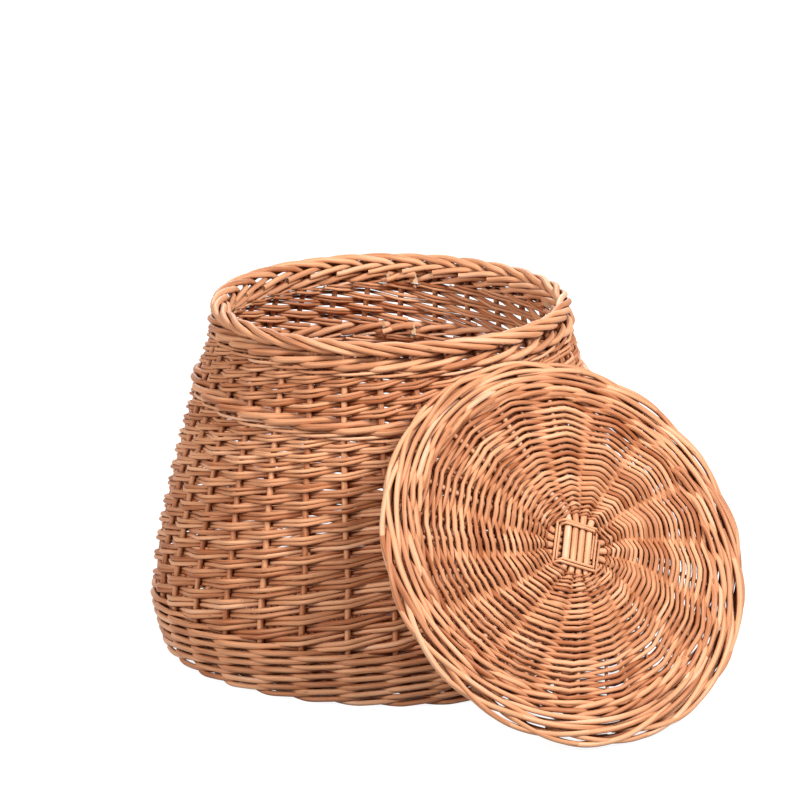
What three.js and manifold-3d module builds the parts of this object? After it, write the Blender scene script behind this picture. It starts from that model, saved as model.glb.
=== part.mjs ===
// A round willow hamper: a staked basket that swells above its foot and narrows to an open mouth,
// and a flat round lid of woven willow that stands on its edge and leans against the basket.
// Units are millimetres and +Z is up. The origin lies on the floor under the middle of the whole part.
import * as THREE from 'three';
import { mergeVertices } from 'three/addons/utils/BufferGeometryUtils.js';
import Module from 'manifold-3d';

const wasm = await Module();
wasm.setup();

// Rods
const STAKE_COUNT = 32;
const STAKE_DIAMETER = 6.5;
const WEAVER_DIAMETER = 4.3;
const STICK_DIAMETER = 7.5;
const STICKS_PER_LAYER = 4;
const CLEARANCE = 0.3;

// Outside of the wall: a radius at each height, from the floor to the top of the weave
const FOOT_RADIUS = 238;
const BELLY_HEIGHT = 60;
const BELLY_RADIUS = 250;
const FLANK_HEIGHT = 186;
const FLANK_RADIUS = 229.5;
const SHOULDER_HEIGHT = 285;
const SHOULDER_RADIUS = 203;
const NECK_HEIGHT = 351;
const NECK_RADIUS = 184;

// Bands of the weave
const FOOT_ROUNDING = 8;
const FOOT_WALE_HEIGHT = 60.5;
const MIDDLE_WALE_HEIGHT = 24;
const UPPER_RAND_HEIGHT = 43;
const TOP_WALE_HEIGHT = 17;
const WALE_PROUD = 3;
const STAKE_SEAT = 6;

// Lower rand: its weavers pass in front of every stake, and the passes lie closer together higher up.
const LOWER_PASSES = 12;
const PASS_CROWDING = 0.245;
const FIRST_PASS_RISE = 7;
const LAST_PASS_DROP = 3.5;

// Turn of the basket about its own axis, and the lean of the stakes to one side above the belly
const BASKET_TURN = 0.9;
const STAKE_LEAN = -4.8;
const LEAN_START = 130;

// Border rolled over the stake tops
const BORDER_OUTSET = 2.5;
const BORDER_WIDTH = 18.6;
const BORDER_DEPTH = 16.4;

// Base, let into the foot above the floor
const BASE_RAISE = 6.5;

// Lid
const LID_RADIUS = 203;
const LID_BORDER_WIDTH = 43;
const LID_BORDER_THICKNESS = 18;
const LID_LEAN = 55.9;
const LID_AZIMUTH = 34.1;
const LID_FACING = 31;
const LID_SPIN = 25;
const LID_GAP = 0.5;

// Place of the lid's cross off the middle of its weave, along the lid and up it
const LID_CROSS_ASIDE = 15;
const LID_CROSS_RISE = 3;

// Cross of sticks at the middle of the base and of the lid
const BINDING_WIDTH = 12;
const FAN_LENGTH = 18;

// Steps of the round shapes
const RING_STEPS = 48;
const BINDING_STEPS = 24;
const ROD_SIDES = 6;
const CHANNEL_SIDES = 4;
const LOWER_RAND_STEPS = 3;
const BORDER_EDGE_STEPS = 4;
const LID_EDGE_STEPS = 6;
const CONTACT_STEPS = 40;

const WALL_THICKNESS = STAKE_DIAMETER + 2 * WEAVER_DIAMETER;
const LOWER_RAND_TOP = NECK_HEIGHT - TOP_WALE_HEIGHT - UPPER_RAND_HEIGHT - MIDDLE_WALE_HEIGHT;
const MIDDLE_WALE_TOP = LOWER_RAND_TOP + MIDDLE_WALE_HEIGHT;
const UPPER_RAND_TOP = MIDDLE_WALE_TOP + UPPER_RAND_HEIGHT;
const STAKE_FOOT_HEIGHT = FOOT_ROUNDING + STAKE_SEAT;
const DISC_THICKNESS = STICK_DIAMETER + 2 * WEAVER_DIAMETER;
const SECTOR = (2 * Math.PI) / STAKE_COUNT;

// Relief of the rand below the wall's outside: beside a pass, on a stake between passes and in a pocket
// beside a stake between passes
const PASS_FALL = WALL_THICKNESS / 3;
const STAKE_DEPTH = WEAVER_DIAMETER / 2;
const POCKET_DEPTH = WALL_THICKNESS / 2;

const willow = (colour, roughness) => new THREE.MeshStandardMaterial({ color: colour, roughness, metalness: 0 });
const WILLOW_ROD = willow(0xc08a5c, 0.55);
const WILLOW_WEAVE = willow(0xc9935f, 0.6);
const WILLOW_WALE = willow(0xcf9a68, 0.55);

// Radius of the wall's outside at a height, as one smooth curve through the named stations
const wallCurve = new THREE.CubicInterpolant(
  [0, BELLY_HEIGHT, FLANK_HEIGHT, SHOULDER_HEIGHT, NECK_HEIGHT],
  [FOOT_RADIUS, BELLY_RADIUS, FLANK_RADIUS, SHOULDER_RADIUS, NECK_RADIUS],
  1,
);
const wallRadius = (height) => wallCurve.evaluate(height)[0];
const stakeRadius = (height) => wallRadius(height) - WALL_THICKNESS / 2;
const innerRadius = (height) => wallRadius(height) - WALL_THICKNESS;

// The foot's lower outside edge is rounded off towards the floor.
function footRadius(height) {
  const drop = Math.max(0, FOOT_ROUNDING - height);
  return wallRadius(height) - FOOT_ROUNDING + Math.sqrt(FOOT_ROUNDING ** 2 - drop ** 2);
}
const waleRadius = (height) => wallRadius(height) + WALE_PROUD;

// Turn of the stakes about the basket's axis at a height
function stakeTurn(height) {
  const rise = THREE.MathUtils.clamp((height - LEAN_START) / (NECK_HEIGHT - LEAN_START), 0, 1);
  return THREE.MathUtils.degToRad(STAKE_LEAN) * rise;
}

const polar = (radius, angle, height) =>
  new THREE.Vector3(radius * Math.cos(angle), radius * Math.sin(angle), height);
const lerp = THREE.MathUtils.lerp;
const heightsBetween = (bottom, top, steps) =>
  Array.from({ length: steps + 1 }, (_, i) => lerp(bottom, top, i / steps));

// Triangle lists
function geometryOf(triangles) {
  const geometry = new THREE.BufferGeometry().setFromPoints(triangles);
  geometry.computeVertexNormals();
  return geometry;
}
const addQuad = (triangles, a, b, c, d) => triangles.push(a, b, c, a, c, d);

// Wall of triangles between two loops of equal length, facing out where the loops run anticlockwise
function addSkin(triangles, lower, upper, inward) {
  lower.forEach((point, i) => {
    const next = (i + 1) % lower.length;
    if (inward) addQuad(triangles, point, upper[i], upper[next], lower[next]);
    else addQuad(triangles, point, lower[next], upper[next], upper[i]);
  });
}

function addCap(triangles, contour, holes, upward) {
  const points = [contour, ...holes].flat();
  const flat = (loop) => loop.map((point) => new THREE.Vector2(point.x, point.y));
  for (const [a, b, c] of THREE.ShapeUtils.triangulateShape(flat(contour), holes.map(flat))) {
    if (upward) triangles.push(points[a], points[b], points[c]);
    else triangles.push(points[a], points[c], points[b]);
  }
}

// A rod lofted through rings of points, closed at both ends
function loft(rings) {
  const triangles = [];
  rings.slice(1).forEach((ring, i) => addSkin(triangles, rings[i], ring, false));
  const first = rings[0];
  const last = rings[rings.length - 1];
  for (let i = 1; i + 1 < first.length; i += 1) {
    triangles.push(first[0], first[i + 1], first[i]);
    triangles.push(last[0], last[i], last[i + 1]);
  }
  return geometryOf(triangles);
}

// Stakes
const stakeHeights = [
  STAKE_FOOT_HEIGHT,
  ...heightsBetween(FOOT_WALE_HEIGHT, LOWER_RAND_TOP, LOWER_RAND_STEPS),
  MIDDLE_WALE_TOP,
  UPPER_RAND_TOP,
  NECK_HEIGHT,
];

function stakeGeometry(index) {
  const radius = STAKE_DIAMETER / 2;
  const rings = stakeHeights.map((height, level) => {
    const end = level === 0 ? CLEARANCE : 0;
    const angle = index * SECTOR + stakeTurn(height);
    const centre = polar(stakeRadius(height), angle, height + end);
    return Array.from({ length: ROD_SIDES }, (_, side) =>
      polar(radius, angle + (side * 2 * Math.PI) / ROD_SIDES, 0).add(centre));
  });
  return loft(rings);
}

// Square channel round each stake at a height, its corners set out along and across the radius
function channelLoop(index, height, level) {
  const half = STAKE_DIAMETER / 2 + CLEARANCE;
  const angle = index * SECTOR + stakeTurn(height);
  const along = polar(half, angle, 0);
  const across = polar(half, angle + Math.PI / 2, 0);
  const centre = polar(stakeRadius(height), angle, level);
  return [[1, -1], [1, 1], [-1, 1], [-1, -1]].map(([out, side]) =>
    centre.clone().addScaledVector(along, out).addScaledVector(across, side));
}

// Rows of a rand's outside from its lower to its upper edge. Every second row is a pass of the weavers.
function randRows(bottom, top, passes) {
  const passHeight = (pass) => {
    const share = pass / (passes - 1);
    const crowded = (1 + PASS_CROWDING) * share - PASS_CROWDING * share ** 2;
    return lerp(bottom + FIRST_PASS_RISE, top - LAST_PASS_DROP, crowded);
  };
  const rows = [bottom];
  for (let pass = 0; pass < passes; pass += 1) {
    const isLast = pass + 1 === passes;
    rows.push(passHeight(pass), isLast ? top : (passHeight(pass) + passHeight(pass + 1)) / 2);
  }
  return rows;
}

// Depth of a rand's outside at a row and a column. Every second column is a stake.
function randDepth(row, column) {
  const onPass = row % 2 === 1;
  const onStake = column % 2 === 0;
  if (onPass) return onStake ? 0 : PASS_FALL;
  return onStake ? STAKE_DEPTH : POCKET_DEPTH;
}
const noDepth = () => 0;

// One band of the wall: an outer and an inner skin between its heights, pierced by the stake channels.
// A band whose channels start above its lowest height has blind channels. The outer skin may have rows of
// its own, set in from the straight lines between the heights.
function bandGeometry(heights, outerAt, channelFrom, rows = heights, depthAt = noDepth) {
  const triangles = [];
  const top = heights[heights.length - 1];
  const place = (height) => (height === top ? height - CLEARANCE : height);
  const straight = new THREE.LinearInterpolant(heights, heights.map(outerAt), 1);
  const outer = rows.map((height, row) => Array.from({ length: 2 * STAKE_COUNT }, (_, i) => {
    const radius = straight.evaluate(height)[0] - depthAt(row, i);
    return polar(radius, (i * SECTOR) / 2 + stakeTurn(height), place(height));
  }));
  const inner = heights.map((height) => Array.from({ length: STAKE_COUNT }, (_, i) =>
    polar(innerRadius(height), (i + 0.5) * SECTOR + stakeTurn(height), place(height))));
  const channelHeights = heights.filter((height) => height >= channelFrom);
  const channels = channelHeights.map((height) => Array.from({ length: STAKE_COUNT }, (_, i) =>
    channelLoop(i, height, place(height))));
  rows.slice(1).forEach((_, i) => addSkin(triangles, outer[i], outer[i + 1], false));
  heights.slice(1).forEach((_, i) => addSkin(triangles, inner[i], inner[i + 1], true));
  channelHeights.slice(1).forEach((_, i) => {
    channels[i].forEach((loop, k) => addSkin(triangles, loop, channels[i + 1][k], true));
  });
  const lowest = channelHeights[0] === heights[0] ? channels[0] : [];
  if (lowest.length === 0) channels[0].forEach((loop) => addQuad(triangles, ...loop));
  addCap(triangles, outer[0], [inner[0], ...lowest], false);
  addCap(triangles, outer[outer.length - 1], [inner[inner.length - 1], ...channels[channels.length - 1]], true);
  return geometryOf(triangles);
}

// Revolves a closed outline of [radius, height] pairs, listed anticlockwise, about the Z axis.
function revolve(outline, steps) {
  const points = [...outline, outline[0]].map(([radius, height]) => new THREE.Vector2(radius, height));
  return new THREE.LatheGeometry(points, steps).rotateX(Math.PI / 2);
}

const squareOutline = (innerEdge, outerEdge, thickness) => [
  [innerEdge, -thickness / 2],
  [outerEdge, -thickness / 2],
  [outerEdge, thickness / 2],
  [innerEdge, thickness / 2],
];

// Outline of a ring with rounded edges: an ellipse, or a stadium where it is wider than it is thick
function roundedOutline(innerEdge, outerEdge, thickness, middle, edgeSteps) {
  const depth = thickness / 2;
  const nose = Math.min(depth, (outerEdge - innerEdge) / 2);
  const arc = (centre, start) => Array.from({ length: edgeSteps + 1 }, (_, i) => {
    const turn = start + (i * Math.PI) / edgeSteps;
    return [centre + nose * Math.cos(turn), middle + depth * Math.sin(turn)];
  });
  const outerArc = arc(outerEdge - nose, -Math.PI / 2);
  const innerArc = arc(innerEdge + nose, Math.PI / 2);
  const wide = outerEdge - innerEdge > 2 * nose + CLEARANCE;
  return wide ? [...outerArc, ...innerArc] : [...outerArc, ...innerArc.slice(1, -1)];
}

function solidOf(geometry) {
  const bare = geometry.clone();
  bare.deleteAttribute('normal');
  bare.deleteAttribute('uv');
  const merged = mergeVertices(bare, 1e-4);
  return new wasm.Manifold(new wasm.Mesh({
    numProp: 3,
    vertProperties: merged.attributes.position.array,
    triVerts: new Uint32Array(merged.index.array),
  }));
}

function geometryFrom(solid) {
  const { vertProperties, triVerts } = solid.getMesh();
  const geometry = new THREE.BufferGeometry();
  geometry.setAttribute('position', new THREE.BufferAttribute(vertProperties, 3));
  geometry.setIndex(new THREE.BufferAttribute(triVerts, 1));
  return geometry.toNonIndexed();
}

// Cross of sticks: two layers lie square to each other at the middle, and each stick's ends fan out
// into two spokes that come to the disc's middle plane.
const SPOKE_COUNT = 4 * STICKS_PER_LAYER;
const SPOKE_STEP = (2 * Math.PI) / SPOKE_COUNT;
const STICK_PITCH = STICK_DIAMETER + CLEARANCE;
const CROSS_HALF = (STICKS_PER_LAYER * STICK_PITCH) / 2;
const BINDING_INNER = CROSS_HALF * Math.SQRT2 + CLEARANCE;
const BINDING_OUTER = BINDING_INNER + BINDING_WIDTH;
const FAN_RADIUS = BINDING_OUTER + FAN_LENGTH;

function stickPath(layer, index, reach) {
  const side = layer === 0 ? 1 : -1;
  const offset = index - (STICKS_PER_LAYER - 1) / 2;
  const lift = side * (STICK_PITCH / 2);
  const fan = offset * SPOKE_STEP;
  const halfPath = (direction) => [
    [CROSS_HALF, offset * STICK_PITCH, lift],
    [FAN_RADIUS * Math.cos(fan), FAN_RADIUS * Math.sin(fan), 0],
    [reach * Math.cos(fan), reach * Math.sin(fan), 0],
  ].map(([along, across, height]) => new THREE.Vector3(direction * along, across, height));
  const path = [...halfPath(-1).reverse(), ...halfPath(1)];
  const turn = layer === 0 ? Math.PI / 2 : 0;
  return path.map((point) => point.applyAxisAngle(new THREE.Vector3(0, 0, 1), turn));
}

function stickGeometry(path, radius, sides) {
  const up = new THREE.Vector3(0, 0, 1);
  const rings = path.map((point, i) => {
    const before = path[Math.max(i - 1, 0)];
    const after = path[Math.min(i + 1, path.length - 1)];
    const along = after.clone().sub(before).normalize();
    const across = new THREE.Vector3().crossVectors(up, along).normalize();
    const rise = new THREE.Vector3().crossVectors(along, across);
    return Array.from({ length: sides }, (_, side) => {
      const turn = ((side + 0.5) * 2 * Math.PI) / sides;
      return point.clone()
        .addScaledVector(across, radius * Math.cos(turn))
        .addScaledVector(rise, radius * Math.sin(turn));
    });
  });
  return loft(rings);
}

const stickNumbers = Array.from({ length: 2 * STICKS_PER_LAYER }, (_, i) => i);
const stickPathOf = (number, reach) =>
  stickPath(Math.floor(number / STICKS_PER_LAYER), number % STICKS_PER_LAYER, reach);

// A ring of weave over the spokes: full thickness on every spoke, and one stick thick between spokes
function spokedRing(innerEdge, outerEdge) {
  const triangles = [];
  const corners = [[innerEdge, 1], [outerEdge, 1], [outerEdge, -1], [innerEdge, -1]];
  const sections = Array.from({ length: 2 * SPOKE_COUNT }, (_, i) => {
    const half = (i % 2 === 1 ? DISC_THICKNESS : STICK_DIAMETER) / 2;
    return corners.map(([radius, side]) => polar(radius, (i * SPOKE_STEP) / 2, side * half));
  });
  sections.forEach((section, i) => addSkin(triangles, section, sections[(i + 1) % sections.length], false));
  return geometryOf(triangles);
}

// Moves a disc's cross aside as one, out to the ends of its fan. The disc's edge stays in its place.
function crossMoved(geometry, aside, edge) {
  const position = geometry.attributes.position;
  for (let i = 0; i < position.count; i += 1) {
    const radius = Math.hypot(position.getX(i), position.getY(i));
    const share = THREE.MathUtils.clamp((edge - radius) / (edge - FAN_RADIUS), 0, 1);
    position.setXY(i, position.getX(i) + share * aside.x, position.getY(i) + share * aside.y);
  }
  geometry.computeVertexNormals();
  return geometry;
}

// Cuts a square clearance channel for every stick through a ring of weave.
function bored(geometry, reach) {
  const corner = (STICK_DIAMETER / 2 + CLEARANCE) / Math.cos(Math.PI / CHANNEL_SIDES);
  const cut = stickNumbers.reduce((solid, number) => {
    const path = stickPathOf(number, reach);
    return solid.subtract(solidOf(stickGeometry(path, corner, CHANNEL_SIDES)));
  }, solidOf(geometry));
  return geometryFrom(cut);
}

const hamper = new THREE.Group();
function addPiece(group, name, geometry, material) {
  const mesh = new THREE.Mesh(geometry, material);
  mesh.name = name;
  group.add(mesh);
}
const numbered = (name, index) => `${name}_${String(index + 1).padStart(2, '0')}`;

// A woven disc's cross of sticks, the binding round the cross and the weave out to an edge
function addWovenDisc(group, name, stickReach, weaveEdge, aside) {
  const placed = (geometry) => crossMoved(geometry, aside, weaveEdge);
  for (const number of stickNumbers) {
    const geometry = stickGeometry(stickPathOf(number, stickReach), STICK_DIAMETER / 2, ROD_SIDES);
    addPiece(group, numbered(`${name}_stick`, number), placed(geometry), WILLOW_ROD);
  }
  const bindingThickness = 2 * (STICK_PITCH + WEAVER_DIAMETER);
  const binding = revolve(squareOutline(BINDING_INNER, BINDING_OUTER, bindingThickness), BINDING_STEPS);
  addPiece(group, `${name}_binding`, placed(bored(binding, stickReach)), WILLOW_WALE);
  const weave = spokedRing(BINDING_OUTER + CLEARANCE, weaveEdge);
  addPiece(group, `${name}_weave`, placed(bored(weave, stickReach + CLEARANCE)), WILLOW_WEAVE);
}

// Basket
const basket = new THREE.Group();
basket.rotation.z = THREE.MathUtils.degToRad(BASKET_TURN);
hamper.add(basket);
for (let i = 0; i < STAKE_COUNT; i += 1) {
  addPiece(basket, numbered('stake', i), stakeGeometry(i), WILLOW_ROD);
}
const footHeights = [0, FOOT_ROUNDING / 3, FOOT_ROUNDING, STAKE_FOOT_HEIGHT, FOOT_WALE_HEIGHT];
const lowerHeights = heightsBetween(FOOT_WALE_HEIGHT, LOWER_RAND_TOP, LOWER_RAND_STEPS);
const middleHeights = [LOWER_RAND_TOP, MIDDLE_WALE_TOP];
const upperHeights = [MIDDLE_WALE_TOP, UPPER_RAND_TOP];
const topHeights = [UPPER_RAND_TOP, NECK_HEIGHT];
addPiece(basket, 'foot_wale', bandGeometry(footHeights, footRadius, STAKE_FOOT_HEIGHT), WILLOW_WALE);
const lowerRows = randRows(FOOT_WALE_HEIGHT, LOWER_RAND_TOP, LOWER_PASSES);
const lowerRand = bandGeometry(lowerHeights, wallRadius, FOOT_WALE_HEIGHT, lowerRows, randDepth);
addPiece(basket, 'lower_rand', lowerRand, WILLOW_WEAVE);
addPiece(basket, 'middle_wale', bandGeometry(middleHeights, waleRadius, LOWER_RAND_TOP), WILLOW_WALE);
addPiece(basket, 'upper_rand', bandGeometry(upperHeights, wallRadius, MIDDLE_WALE_TOP), WILLOW_WEAVE);
addPiece(basket, 'top_wale', bandGeometry(topHeights, waleRadius, UPPER_RAND_TOP), WILLOW_WALE);
const borderMiddle = NECK_HEIGHT + CLEARANCE + BORDER_DEPTH / 2;
const borderRadius = stakeRadius(NECK_HEIGHT) + BORDER_OUTSET;
const borderInner = borderRadius - BORDER_WIDTH / 2;
const borderOuter = borderRadius + BORDER_WIDTH / 2;
const borderOutline = roundedOutline(borderInner, borderOuter, BORDER_DEPTH, borderMiddle, BORDER_EDGE_STEPS);
addPiece(basket, 'border', revolve(borderOutline, RING_STEPS), WILLOW_WALE);

// Base
const base = new THREE.Group();
const baseMiddle = BASE_RAISE + DISC_THICKNESS / 2;
base.position.z = baseMiddle;
basket.add(base);
const baseEdge = innerRadius(BASE_RAISE) * Math.cos(SECTOR / 2) - CLEARANCE;
addWovenDisc(base, 'base', baseEdge - WEAVER_DIAMETER, baseEdge, new THREE.Vector2());

// Lid: the weave is turned in its border, so the cross of sticks stands upright to someone in front.
const lidStand = new THREE.Group();
hamper.add(lidStand);
const lidDisc = new THREE.Group();
const spin = THREE.MathUtils.degToRad(LID_SPIN);
lidDisc.rotation.z = -spin;
lidStand.add(lidDisc);
const lidCross = new THREE.Vector2(LID_CROSS_ASIDE, LID_CROSS_RISE).rotateAround(new THREE.Vector2(), spin);
const lidBorderInner = LID_RADIUS - LID_BORDER_WIDTH;
const lidWeaveEdge = lidBorderInner * Math.cos(Math.PI / RING_STEPS) - CLEARANCE;
addWovenDisc(lidDisc, 'lid', lidWeaveEdge - CLEARANCE, lidWeaveEdge, lidCross);
const lidBorder = roundedOutline(lidBorderInner, LID_RADIUS, LID_BORDER_THICKNESS, 0, LID_EDGE_STEPS);
addPiece(lidStand, 'lid_border', revolve(lidBorder, RING_STEPS), WILLOW_WALE);

// The lid's section in its upright plane is a bar with round ends. It stands on the floor, and its foot
// is moved out until the bar just clears every point of the basket's outside. It faces a little to one side.
const lidNose = LID_BORDER_THICKNESS / 2;
const lean = THREE.MathUtils.degToRad(LID_LEAN);
const barLength = 2 * (LID_RADIUS - lidNose);
const outsideOf = (bottom, top, radiusAt) =>
  heightsBetween(bottom, top, CONTACT_STEPS).map((height) => [radiusAt(height), height]);
const outside = [
  ...outsideOf(0, FOOT_WALE_HEIGHT, footRadius),
  ...outsideOf(FOOT_WALE_HEIGHT, LOWER_RAND_TOP, wallRadius),
  ...outsideOf(LOWER_RAND_TOP, MIDDLE_WALE_TOP, waleRadius),
  ...outsideOf(MIDDLE_WALE_TOP, UPPER_RAND_TOP, wallRadius),
  ...outsideOf(UPPER_RAND_TOP, NECK_HEIGHT, waleRadius),
  ...borderOutline,
];
function barDistance(foot, [radius, height]) {
  const out = radius - foot;
  const up = height - lidNose;
  const along = THREE.MathUtils.clamp(up * Math.sin(lean) - out * Math.cos(lean), 0, barLength);
  return Math.hypot(out + along * Math.cos(lean), up - along * Math.sin(lean));
}
let nearFoot = FOOT_RADIUS;
let farFoot = 2 * (BELLY_RADIUS + LID_RADIUS);
while (farFoot - nearFoot > CLEARANCE / 100) {
  const foot = (nearFoot + farFoot) / 2;
  const clear = outside.every((point) => barDistance(foot, point) >= lidNose + LID_GAP);
  if (clear) farFoot = foot;
  else nearFoot = foot;
}
const lidOut = farFoot - (barLength / 2) * Math.cos(lean);
const lidUp = lidNose + (barLength / 2) * Math.sin(lean);
const azimuth = THREE.MathUtils.degToRad(LID_AZIMUTH);
lidStand.rotation.order = 'ZXY';
lidStand.rotation.set(lean, 0, THREE.MathUtils.degToRad(LID_FACING));
lidStand.position.set(lidOut * Math.sin(azimuth), -lidOut * Math.cos(azimuth), lidUp);

// The whole part stands on the floor with the middle of its plan at the origin.
hamper.updateMatrixWorld(true);
const box = new THREE.Box3().setFromObject(hamper, true);
const middle = box.getCenter(new THREE.Vector3());
hamper.position.set(-middle.x, -middle.y, -box.min.z);

export default hamper;
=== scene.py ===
"""Woven willow for a round hamper and its loose lid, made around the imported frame."""

import math
import random

import bpy
from mathutils import Matrix, Vector


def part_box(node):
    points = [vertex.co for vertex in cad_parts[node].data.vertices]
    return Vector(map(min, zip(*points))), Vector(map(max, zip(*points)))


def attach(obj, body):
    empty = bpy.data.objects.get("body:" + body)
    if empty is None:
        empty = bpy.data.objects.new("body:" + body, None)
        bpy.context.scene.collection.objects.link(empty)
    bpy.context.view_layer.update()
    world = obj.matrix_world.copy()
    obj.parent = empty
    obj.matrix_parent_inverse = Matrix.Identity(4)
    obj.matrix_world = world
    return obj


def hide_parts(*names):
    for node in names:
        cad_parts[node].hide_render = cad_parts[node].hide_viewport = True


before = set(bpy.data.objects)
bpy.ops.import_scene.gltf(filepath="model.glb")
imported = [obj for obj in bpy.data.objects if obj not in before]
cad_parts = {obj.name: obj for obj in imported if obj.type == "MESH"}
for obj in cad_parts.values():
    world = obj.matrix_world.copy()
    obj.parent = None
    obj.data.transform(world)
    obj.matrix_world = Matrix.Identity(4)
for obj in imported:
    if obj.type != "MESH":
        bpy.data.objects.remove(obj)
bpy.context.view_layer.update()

bl_info = {
    "name": "Willow hamper",
    "version": (1, 0, 0),
    "blender": (4, 5, 0),
    "location": "View3D > Sidebar > Hamper",
    "description": "Weaves a round willow hamper and its loose flat lid",
    "category": "Add Mesh",
}

ROD_TREE = "Willow rods"
TONES = {"Stake": -0.14, "Foot": -0.08, "Wale": -0.03, "Weaver": -0.11, "Stick": 0.01, "Border": -0.05}
TENTH_MM = 0.0001
SPOKES = 16
STICKS_PER_LAYER = 4
SAMPLES_PER_STAKE = 6
SAMPLES_PER_SPOKE = 12
CROSS_HALF = 0.019
SPOKE_THINNING = 0.03
BYE_TAIL = 0.012
END_RUN = 0.45
END_TUCK = 0.003


def middle_of(node):
    """Middle of a node's box."""
    low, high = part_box(node)
    return (low + high) / 2


def band_of(node):
    """Lowest and highest level of a node."""
    low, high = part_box(node)
    return low.z, high.z


middle_of_basket = middle_of("border")


def length(name, description, default):
    """A length that a user can change, in metres."""
    return bpy.props.FloatProperty(
        name=name, description=description, default=default, precision=4, unit="LENGTH"
    )


def angle(name, description, degrees):
    """An angle that a user can change."""
    return bpy.props.FloatProperty(
        name=name, description=description, default=math.radians(degrees), subtype="ANGLE"
    )


def whole_number(name, description, default, least=1):
    """A count that a user can change."""
    return bpy.props.IntProperty(name=name, description=description, default=default, min=least)


def plain_number(name, description, default):
    """A number without a unit that a user can change."""
    return bpy.props.FloatProperty(name=name, description=description, default=default)


def screen_colour(red, green, blue):
    """Linear colour of a screen colour given from 0 to 255."""
    parts = (value / 255 for value in (red, green, blue))
    return (*(part / 12.92 if part < 0.04045 else ((part + 0.055) / 1.055) ** 2.4 for part in parts), 1.0)


def colour(name, description, default):
    """A colour that a user can change."""
    return bpy.props.FloatVectorProperty(
        name=name, description=description, default=default, size=4, min=0, max=1, subtype="COLOR"
    )


class HamperBasketSizes(bpy.types.PropertyGroup):
    """Sizes of the basket's wall and of the rods that it is woven from."""

    turn: angle("Turn", "Turn of the stakes at the belly", 0.9)
    lean: angle("Lean", "Turn that the stakes gain up to the neck", -4.8)
    lean_start: length("Lean start", "Height where the stakes begin to lean", 0.130)
    stakes: whole_number("Stakes", "Upright rods", 32, 12)
    foot_radius: length("Foot radius", "Outside at the floor", 0.238)
    belly_height: length("Belly height", "Height of the widest round", 0.060)
    belly_radius: length("Belly radius", "Outside at the belly", 0.250)
    flank_height: length("Flank height", "Height of the flank", 0.186)
    flank_radius: length("Flank radius", "Outside at the flank", 0.2295)
    shoulder_height: length("Shoulder height", "Height of the shoulder", 0.285)
    shoulder_radius: length("Shoulder radius", "Outside at the shoulder", 0.203)
    neck_height: length("Neck height", "Height of the top of the weave", 0.351)
    neck_radius: length("Neck radius", "Outside at the neck", 0.184)
    wall_thickness: length("Wall thickness", "A stake with a weaver on each side", 0.0151)
    foot_rounding: length("Foot rounding", "Rounding of the foot's lower edge", 0.008)
    stake_diameter: length("Stake diameter", "Thickness of an upright rod", 0.0062)
    lower_butt: length("Lower butt", "A lower weaver where it starts", 0.0055)
    lower_tip: length("Lower tip", "A lower weaver where it ends", 0.0036)
    lower_passes: whole_number("Lower passes", "Times that it passes before a stake", 12)
    lower_crowding: plain_number("Lower crowding", "How much closer its upper rows lie", 0.267)
    upper_butt: length("Upper butt", "An upper weaver where it starts", 0.0041)
    upper_tip: length("Upper tip", "An upper weaver where it ends", 0.0037)
    upper_passes: whole_number("Upper passes", "Times that it passes before a stake", 3)
    wale_diameter: length("Foot wale rod", "Rod of the foot wale", 0.0060)
    wale_rounds: whole_number("Foot wale rounds", "Rounds of the foot wale", 6)
    wale_step: plain_number("Wale step", "Stakes over which a round steps up", 5.0)
    wale_start: whole_number("Wale start", "Stake at which every round starts", 8, 0)
    thick_diameter: length("Thick wale rod", "Rod of the thick rounds", 0.0072)
    thin_diameter: length("Thin wale rod", "Rod of the thin rounds", 0.0034)
    border_diameter: length("Border rod", "Stake top in the border", 0.0068)


class HamperLidSizes(bpy.types.PropertyGroup):
    """Sizes of the woven discs, the lid and the base alike, and the lid's stance."""

    lean: angle("Lean", "Slope of the lid from the floor", 55.9)
    facing: angle("Facing", "Direction that the lid faces", 31)
    spin: angle("Spin", "Turn of the lid in its own plane", 25)
    cross_aside: length("Cross aside", "How far along the lid its cross lies", 0.015)
    cross_rise: length("Cross rise", "How far up the lid its cross lies", 0.003)
    ring_rise: length("Ring rise", "How far up the lid the border's inner edge lies", 0.004)
    stick_diameter: length("Stick diameter", "Thickness of a stick of the cross", 0.0074)
    stick_spacing: length("Stick spacing", "Distance between sticks side by side", 0.0077)
    fan_radius: length("Fan radius", "Where the sticks have opened into spokes", 0.0524)
    binding_reach: length("Binding reach", "Half width of the binding's first round", 0.0178)
    binding_diameter: length("Binding rod", "Rod of the binding", 0.0030)
    weave_start: length("Weave start", "Radius of the first round of weave", 0.0300)
    fine_pitch: length("Fine pitch", "Width of a round next to the cross", 0.0044)
    weave_pitch: length("Weave pitch", "Width of a round from the bye-stakes outward", 0.0071)
    weaver_diameter: length("Disc weaver", "Rod of the disc's weave", 0.0049)
    bye_start: length("Bye-stake start", "Radius where the rods beside a spoke begin", 0.080)
    bye_opening: length("Bye-stake opening", "Length in which it leaves its spoke", 0.070)
    bye_spread: angle("Bye-stake spread", "Turn away from its spoke", 9)
    bye_diameter: length("Bye-stake diameter", "Rod beside a spoke", 0.0042)
    radius: length("Lid radius", "Outer edge of the lid", 0.2045)
    border_width: length("Border width", "Width of the lid's border", 0.043)
    border_diameter: length("Lid border rod", "Rod of the lid's border", 0.0057)
    close_wale: length("Close wale", "Width of the lid's wale over spokes and bye-stakes", 0.015)
    rim_width: length("Rim width", "Width of the plaited edge outside the wale", 0.0104)


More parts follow.
